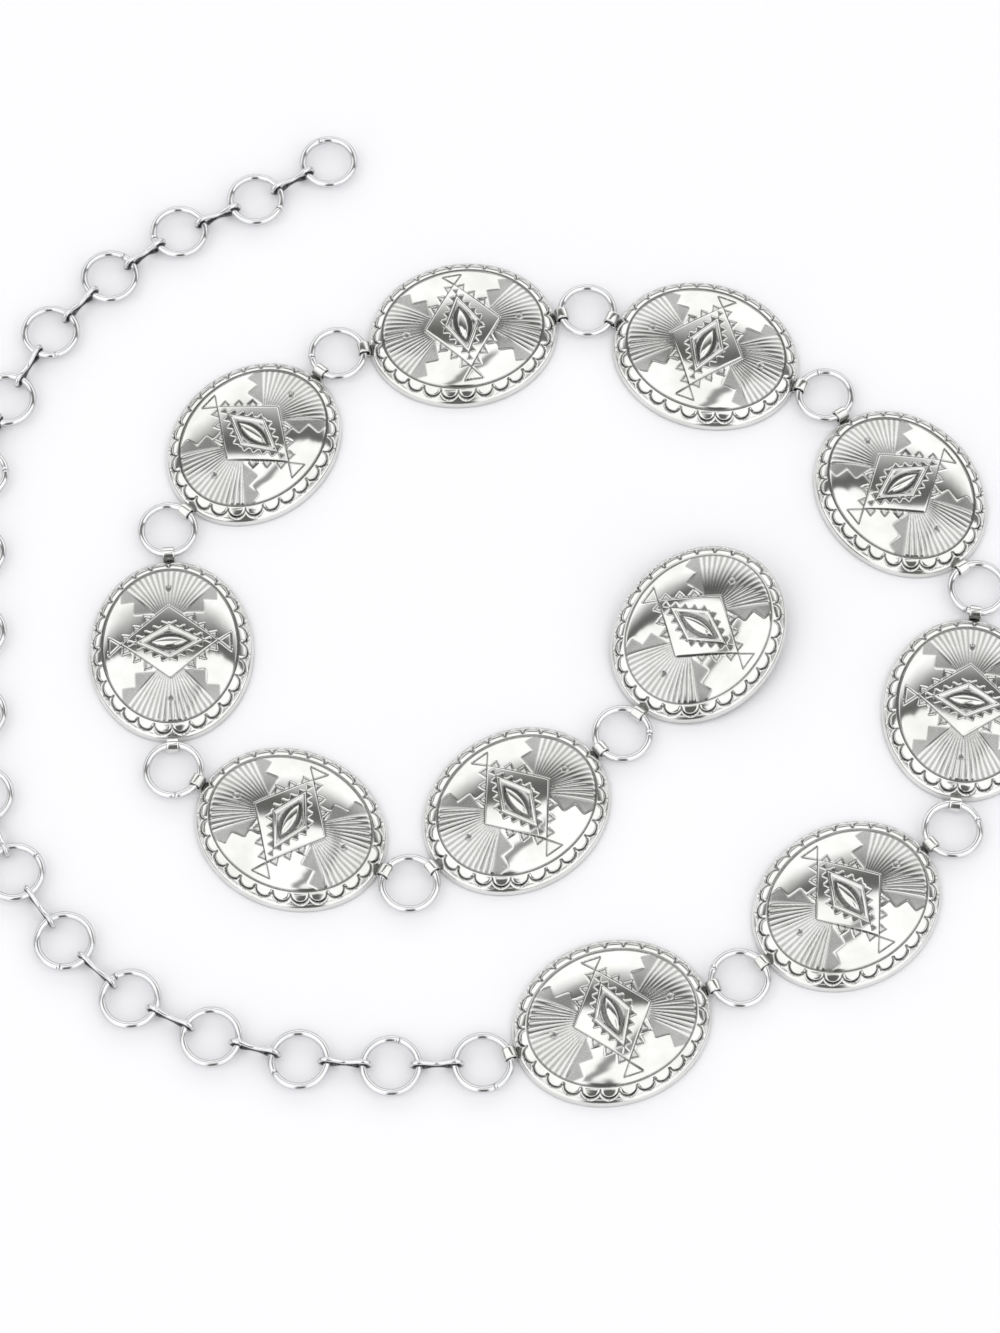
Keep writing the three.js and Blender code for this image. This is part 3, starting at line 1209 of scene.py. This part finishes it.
@dataclass(frozen=True)
class BeltHook:
    """The plain strip hook under the end concho, bent back below the rim.

    Its base lies under the hollow's roof, which is measured at roof_share of the way to the rim.
    """

    concho: StampedConcho = field(default_factory=StampedConcho)
    width: float = 6.0
    thickness: float = 1.2
    base: float = 11.0
    tip: float = 6.0
    bend_place: float = -7.0
    drop: float = 3.0
    seat_gap: float = 0.3
    roof_share: float = 0.4
    base_steps: int = 7
    bend_steps: int = 22
    tip_steps: int = 5
    section_points: int = 28
    squareness: float = 6.0

    def surface(self) -> Surface:
        """The hook: a straight base, a half circle and a straight tip, all of one flat strip.

        Returns:
            The hook in its concho's axes.
        """
        hollow = 1 - self.concho.wall / self.concho.height
        roof = float(self.concho.dome(np.array(self.roof_share))) * hollow
        outer = (roof - self.seat_gap + self.drop) / 2
        radius, middle = outer - self.thickness / 2, outer - self.drop
        turn = np.linspace(math.pi / 2, 1.5 * math.pi, self.bend_steps)
        base = np.linspace(self.bend_place + self.base, self.bend_place, self.base_steps + 1)[:-1]
        tip = np.linspace(self.bend_place, self.bend_place + self.tip, self.tip_steps + 1)[1:]
        u = np.concatenate([base, self.bend_place + radius * np.cos(turn), tip])
        heights = [np.full(len(base), radius), radius * np.sin(turn), np.full(len(tip), -radius)]
        path = upright(u, np.concatenate(heights) + middle)
        section = strip_section(self.thickness, self.width, self.section_points, self.squareness)
        return swept(path, section, ACROSS, False)

    def tilt(self, strap: RingStrap) -> float:
        """How far the end concho leans back on its hook, in radians.

        It is the turn about the strap's eye that brings the hook's tip down to the table.

        Args:
            strap: The end concho's strap.

        Returns:
            The turn.
        """
        reach = strap.eye_place(self.concho) - self.bend_place - self.tip
        fall = strap.joinery.ring_plane + self.drop
        return math.atan2(fall, reach) - math.asin(strap.joinery.ring_plane / math.hypot(fall, reach))


@dataclass
class Belt:
    """The whole belt, laid out from the rings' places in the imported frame."""

    joinery: Joinery = field(default_factory=Joinery)
    concho: StampedConcho = field(default_factory=StampedConcho)
    strap: RingStrap = field(default_factory=RingStrap)
    hook: BeltHook = field(default_factory=BeltHook)

    def __post_init__(self) -> None:
        """Reads the rings' places, in metres, and makes the two finishes."""
        self.ring_names = [f"ring_{i:02d}" for i in range(1, BELT_RINGS + 1)]
        self.ring_names += [f"tail_ring_{i:02d}" for i in range(1, TAIL_RINGS + 1)]
        self.rings = [self.middle(name) for name in self.ring_names]
        self.silver = ANTIQUED_SILVER.material()
        self.wire = BRIGHT_WIRE.material()

    @staticmethod
    def middle(node: str) -> np.ndarray:
        """The middle of a CAD node's box, in metres."""
        low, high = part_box(node)
        return (np.array(low) + np.array(high)) / 2

    @staticmethod
    def between(start: np.ndarray, end: np.ndarray, height: float) -> Placement:
        """A placement halfway between two places, heading from the first to the second.

        Args:
            start: The first place, in metres.
            end: The second place, in metres.
            height: Height of the piece's own origin, in metres.

        Returns:
            The placement.
        """
        run = end - start
        place = (start + end) / 2
        turn = heading_turn(math.atan2(run[1], run[0]))
        return Placement(turn, np.array([place[0], place[1], height]))

    def end_placement(self) -> Placement:
        """The end concho's placement, turned about its strap's eye until the hook's tip meets the table.

        Returns:
            The placement of the concho, its strap and its hook.
        """
        ring = self.rings[0]
        run = ring - self.middle("hook")
        heading = math.atan2(run[1], run[0])
        turn = heading_turn(heading, self.hook.tilt(self.strap))
        forward = np.array([math.cos(heading), math.sin(heading), 0.0])
        eye = ring - forward * self.joinery.ring_radius * MM
        own_eye = np.array([self.strap.eye_place(self.concho), 0.0, self.joinery.ring_plane])
        return Placement(turn, eye - turn @ own_eye * MM)

    def build_conchos(self) -> None:
        """Builds each concho's stamped body and its straps."""
        body = self.concho.surface()
        front, rear = (self.strap.surface(self.concho, end) for end in (1, -1))
        for number in range(1, CONCHOS + 1):
            if number == 1:
                lie, straps = self.end_placement(), front
            else:
                lie = self.between(self.rings[number - 2], self.rings[number - 1], 0.0)
                straps = front.joined(rear)
            node = f"concho_{number:02d}"
            add_piece(f"{node}_stamped", lie.put(body), self.silver, (node,))
            add_piece(f"{node}_straps", lie.put(straps), self.silver)

    def build_rings(self) -> None:
        """Builds the rings, their seams turned by the golden angle from one to the next."""
        golden = math.pi * (3 - math.sqrt(5))
        for number, (name, place) in enumerate(zip(self.ring_names, self.rings)):
            ring = WireRing(self.joinery).surface(number * golden)
            lie = Placement(np.eye(3), place)
            add_piece(f"{name}_wire", lie.put(ring), self.wire, (name,))

    def build_links(self) -> None:
        """Builds a link between each two rings of the tail."""
        link = TailLink(self.joinery).surface()
        tail = self.rings[BELT_RINGS:]
        for number, (start, end) in enumerate(zip(tail, tail[1:]), 1):
            lie = self.between(start, end, self.joinery.ring_plane * MM)
            name = f"link_{number:02d}"
            add_piece(f"{name}_wire", lie.put(link), self.wire, (name,))

    def build_hook(self) -> None:
        """Builds the hook under the end concho."""
        strip = self.end_placement().put(self.hook.surface())
        add_piece("hook_strip", strip, self.wire, ("hook",))

    def build(self) -> None:
        """Builds the belt piece by piece."""
        self.build_conchos()
        self.build_rings()
        self.build_links()
        self.build_hook()


@dataclass(frozen=True)
class DarkShape:
    """A dark shape in the white surroundings, for the metal to mirror.

    It is the product of smooth steps, times its depth. Each step names what it reads off the
    direction, mostly an angle in radians, the value where it gives 0 and the value where it gives 1.
    """

    depth: float
    steps: tuple[tuple[str, float, float], ...]


# What stands round the table, and how dark its mirror image is.
BAR_OVERHEAD = DarkShape(0.9, (("lean", 0.35, 0.37), ("lean", 0.8, 0.43)))
SLANTING_BOOM = DarkShape(
    0.75, (("slant", 0.0, 0.04), ("slant", 0.14, 0.09), ("lean", -0.5, -0.4), ("lean", 0.3, 0.2))
)
LAMP_STAND = DarkShape(0.9, (("bearing", -0.3, -0.15), ("bearing", 0.35, 0.2), ("height", 1.2, 1.08)))
ROOM_EDGE = DarkShape(0.85, (("height", -0.1, 0.0), ("height", 0.3, 0.14), ("back", 0.75, 0.2)))


@dataclass(frozen=True)
class Studio:
    """White table, white surroundings and the camera at the photograph's angle.

    Lengths are in metres. The lens is given by its focal length in pixels of the 1000 by 1333 frame.
    """

    focal_px: float = 4163.0
    image_height_px: int = 1333
    axis_below_middle_px: float = 5.76
    sensor_mm: float = 36.0
    clip: tuple[float, float] = (0.05, 50.0)
    elevation: float = math.radians(66.62)
    distance: float = 1.0574
    target: tuple[float, float, float] = (0.00195, -0.02009, 0.0)
    table_size: float = 6.0
    table: LaminateFinish = WHITE_LAMINATE
    surround: str = "FFFFFF"
    surround_strength: float = 1.26
    shade: str = "23261F"
    shapes: tuple[DarkShape, ...] = (BAR_OVERHEAD, SLANTING_BOOM, LAMP_STAND, ROOM_EDGE)
    boom_slant: float = -0.45
    warp: float = 0.16
    warp_scale: float = 3.2

    def add_camera(self) -> None:
        """Adds the camera, with the lens and the small shift that the photograph's framing needs."""
        data = bpy.data.cameras.new("camera")
        data.sensor_width = self.sensor_mm
        data.lens = self.focal_px * self.sensor_mm / self.image_height_px
        data.shift_y = self.axis_below_middle_px / self.image_height_px
        data.clip_start, data.clip_end = self.clip
        camera = bpy.data.objects.new("camera", data)
        back = (0.0, -math.cos(self.elevation), math.sin(self.elevation))
        camera.location = [t + self.distance * b for t, b in zip(self.target, back)]
        camera.rotation_euler = (math.pi / 2 - self.elevation, 0.0, 0.0)
        bpy.context.scene.collection.objects.link(camera)
        bpy.context.scene.camera = camera

    def add_table(self) -> None:
        """Adds the plain white table as one square."""
        half = self.table_size / 2
        corners = np.array([[-half, -half, 0], [half, -half, 0], [half, half, 0], [-half, half, 0]])
        mesh = Surface(corners, np.array([[0, 1, 2, 3]])).mesh("table")
        mesh.materials.append(self.table.material())
        table = bpy.data.objects.new("table", mesh)
        bpy.context.scene.collection.objects.link(table)

    def add_direction(self, tree: bpy.types.NodeTree) -> Output:
        """Adds the light's direction, bent a little by noise so that no edge is dead straight.

        Args:
            tree: The world's node tree.

        Returns:
            The node and output that give the direction.
        """
        way = add_node(tree, "TexCoord")
        generated = {"Vector": (way, "Generated")}
        noise = add_node(tree, "TexNoise", {}, {"Scale": self.warp_scale, "Detail": 2.0}, generated)
        bend = add_node(
            tree,
            "VectorMath",
            {"operation": "MULTIPLY_ADD"},
            {1: (self.warp,) * 3, 2: (-self.warp / 2,) * 3},
            {0: (noise, "Color")},
        )
        links = {0: (way, "Generated"), 1: (bend, "Vector")}
        return add_node(tree, "VectorMath", {"operation": "ADD"}, links=links), "Vector"

    def add_readings(self, tree: bpy.types.NodeTree) -> dict[str, Output]:
        """Adds what the dark shapes read off the light's direction (x, y, z).

        back is -y, lean is atan2(y, z), side is atan2(x, z), bearing is atan2(x, back), height is
        asin(z), and slant is side plus boom_slant times lean.

        Args:
            tree: The world's node tree.

        Returns:
            The node and output of each reading, by its name.
        """
        split = add_node(tree, "SeparateXYZ", links={"Vector": self.add_direction(tree)})
        x, y, z = ((split, axis) for axis in "XYZ")
        back = add_node(tree, "Math", {"operation": "MULTIPLY"}, {1: -1.0}, {0: y}), "Value"
        readings = {"back": back}
        recipes = {
            "lean": ("ARCTAN2", y, z),
            "side": ("ARCTAN2", x, z),
            "bearing": ("ARCTAN2", x, back),
            "height": ("ARCSINE", z),
        }
        for name, (operation, *inputs) in recipes.items():
            angle = add_node(tree, "Math", {"operation": operation}, links=dict(enumerate(inputs)))
            readings[name] = (angle, "Value")
        links = {0: readings["lean"], 2: readings["side"]}
        slant = add_node(tree, "Math", {"operation": "MULTIPLY_ADD"}, {1: self.boom_slant}, links)
        readings["slant"] = (slant, "Value")
        return readings

    @staticmethod
    def add_shape(tree: bpy.types.NodeTree, shape: DarkShape, readings: dict[str, Output]) -> Output:
        """Adds a dark shape: the product of its smooth steps, times its depth.

        Args:
            tree: The world's node tree.
            shape: The shape.
            readings: What its steps may read, by name.

        Returns:
            The node and output that give its darkness.
        """
        product: dict[int, Output] = {}
        for name, none, full in shape.steps:
            ends = {"From Min": min(none, full), "From Max": max(none, full)}
            ends |= {"To Min": float(none > full), "To Max": float(full > none)}
            settings = {"interpolation_type": "SMOOTHSTEP"}
            step = add_node(tree, "MapRange", settings, ends, {"Value": readings[name]})
            links = product | {1: (step, "Result")}
            times = add_node(tree, "Math", {"operation": "MULTIPLY"}, {0: shape.depth}, links)
            product = {0: (times, "Value")}
        return product[0]

    def add_surroundings(self) -> None:
        """Lights the table from white all round; where dark shapes overlap, the darker one counts."""
        world = bpy.data.worlds.new("white_studio")
        bpy.context.scene.world = world
        world.use_nodes = True
        tree = world.node_tree
        tree.nodes.clear()
        readings = self.add_readings(tree)
        dark, *others = (self.add_shape(tree, shape, readings) for shape in self.shapes)
        for other in others:
            links = {0: dark, 1: other}
            dark = (add_node(tree, "Math", {"operation": "MAXIMUM"}, links=links), "Value")
        colours = {6: linear(self.surround), 7: linear(self.shade)}
        colour = add_node(tree, "Mix", {"data_type": "RGBA"}, colours, {0: dark})
        strength = {"Strength": self.surround_strength}
        light = add_node(tree, "Background", {}, strength, {"Color": (colour, "Result")})
        add_node(tree, "OutputWorld", links={"Surface": (light, "Background")})

    def build(self) -> None:
        """Builds the studio."""
        self.add_camera()
        self.add_table()
        self.add_surroundings()
        bpy.context.scene.view_settings.view_transform = "Standard"


def main() -> None:
    """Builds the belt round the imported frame, and the studio."""
    logging.basicConfig(level=logging.INFO, format="%(name)s: %(message)s")
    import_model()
    Belt().build()
    Studio().build()


if __name__ == "__main__":
    main()
